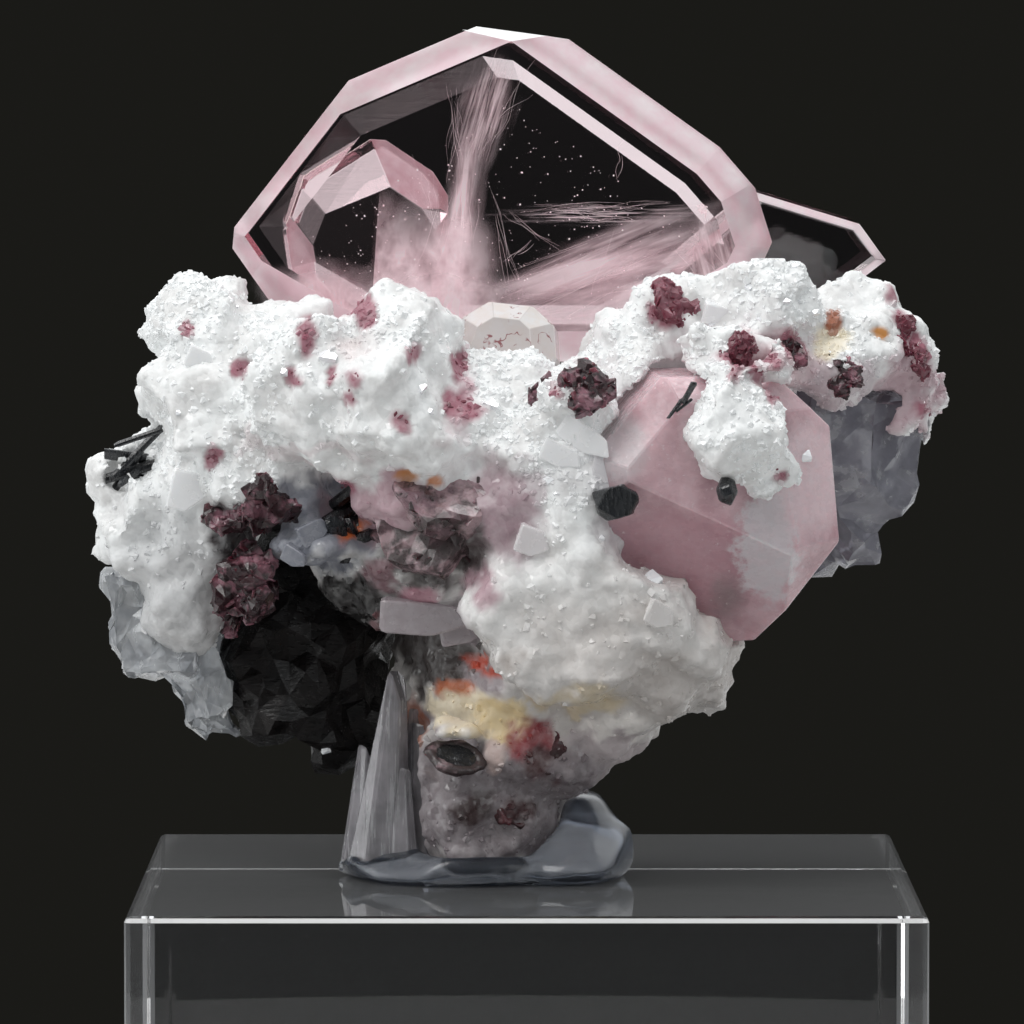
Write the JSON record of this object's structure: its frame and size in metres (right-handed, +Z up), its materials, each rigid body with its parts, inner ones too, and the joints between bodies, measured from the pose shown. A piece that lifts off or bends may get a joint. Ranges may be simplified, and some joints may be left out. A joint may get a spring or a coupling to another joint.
{
  "type": "morganite crystal specimen on a display block",
  "caption": "Clear pink beryl tablet standing in white sugary albite with mica, quartz and black tourmaline, set with tack on a clear square display block.",
  "frame": {"origin": "centre of the underside of the display block", "axes": "+Z up, -Y out of the display side, which shows the large tablet flat on, +X to the right of that side"},
  "size_m": [0.0564, 0.05, 0.0801],
  "materials": {
    "acrylic": "clear polished acrylic with bright polished edges",
    "tack": "translucent bluish silicone tack, glossy and pressed smooth",
    "albite": "white sugary albite, with grey, lilac and orange stained areas",
    "morganite": "clear pale pink beryl with bright natural faces and fine veils",
    "rose_morganite": "cloudy dusky rose beryl with satin faces",
    "quartz": "grey glassy quartz and feldspar with fine striations",
    "smoky_quartz": "nearly black smoky quartz, glassy",
    "schorl": "black tourmaline and columbite, striated and glossy",
    "lepidolite": "raspberry to violet mica books with pearly plates"
  },
  "bodies": {
    "root": {"acrylic_block": "acrylic", "mounting_tack": "tack", "albite_matrix": "albite", "morganite_main": "morganite", "morganite_rear": "morganite", "morganite_front": "rose_morganite", "morganite_small": "morganite", "smoky_quartz": "smoky_quartz", "quartz_left": "quartz", "quartz_right": "quartz", "quartz_foot": "quartz", "schorl_left": "schorl", "schorl_centre": "schorl", "schorl_right": "schorl", "columbite_large": "schorl", "columbite_small": "schorl", "lepidolite_left_upper": "lepidolite", "lepidolite_left_lower": "lepidolite", "lepidolite_top": "lepidolite", "lepidolite_middle": "lepidolite", "lepidolite_right_inner": "lepidolite", "lepidolite_right_outer": "lepidolite", "lepidolite_far_right": "lepidolite", "lepidolite_ledge": "lepidolite", "lepidolite_centre": "lepidolite", "lepidolite_violet": "lepidolite", "lepidolite_foot_right": "lepidolite", "lepidolite_foot_left": "lepidolite", "lepidolite_foot_low": "lepidolite", "lepidolite_back": "lepidolite"}
  },
  "joints": []
}
